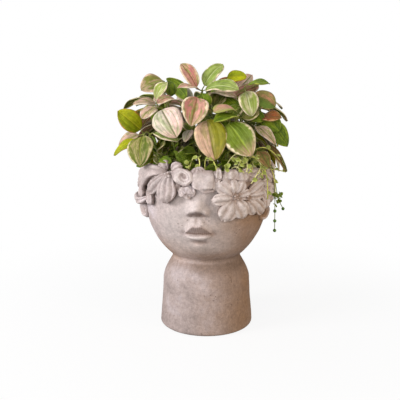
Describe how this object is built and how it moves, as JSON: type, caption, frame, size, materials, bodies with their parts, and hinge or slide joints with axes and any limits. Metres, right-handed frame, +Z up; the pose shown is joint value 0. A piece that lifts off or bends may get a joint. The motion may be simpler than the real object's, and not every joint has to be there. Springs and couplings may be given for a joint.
{
  "type": "face planter",
  "caption": "Cast cement planter shaped as a garlanded head on a hollow neck, with a drained bowl, pebble layer, root ball and a bush of striped leaves that lifts out.",
  "frame": {"origin": "centre of the flat foot, on the surface that the planter stands on", "axes": "+Z up; the face looks along -Y; +X to the viewer's right"},
  "size_m": [0.2353, 0.2119, 0.3568],
  "materials": {
    "cement": "dry sandy cast cement, pinkish grey",
    "screen": "moulded plastic mesh",
    "clay_pebble": "fired expanded clay",
    "soil": "damp peaty potting soil",
    "leaf": "living leaf, satin",
    "thread": "living creeper stem and leaf"
  },
  "bodies": {
    "planter": {"head_casting": "cement", "drain_screen": "screen", "drainage_pebbles": "clay_pebble", "garland_bloom_left": "cement", "garland_bud_brow": "cement", "garland_petal_brow": "cement", "garland_petal_rim": "cement", "garland_bloom_right": "cement", "garland_bloom_temple": "cement", "garland_leaf_temple": "cement", "garland_bloom_ear": "cement", "garland_bloom_back_1": "cement", "garland_bloom_back_2": "cement", "garland_bloom_back_3": "cement", "garland_bloom_back_4": "cement", "garland_bloom_back_5": "cement", "garland_bloom_back_6": "cement"},
    "planting": {"root_ball": "soil", "low_leaves": "leaf", "trailing_threads": "thread", "beaded_threads": "thread", "shoot_1": "leaf", "shoot_2": "leaf", "shoot_3": "leaf", "shoot_4": "leaf", "shoot_5": "leaf", "shoot_6": "leaf", "shoot_7": "leaf", "shoot_8": "leaf", "shoot_9": "leaf", "shoot_10": "leaf", "shoot_11": "leaf", "shoot_12": "leaf", "back_shoot_1": "leaf", "back_shoot_2": "leaf", "back_shoot_3": "leaf", "back_shoot_4": "leaf", "back_shoot_5": "leaf", "back_shoot_6": "leaf", "back_shoot_7": "leaf", "top_shoot_1": "leaf", "top_shoot_2": "leaf", "top_shoot_3": "leaf"}
  },
  "joints": [
    {"name": "planting_lift", "type": "slide", "parent": "planter", "child": "planting", "axis": [0, 0, 1], "range_m": [0, 0.2]}
  ]
}
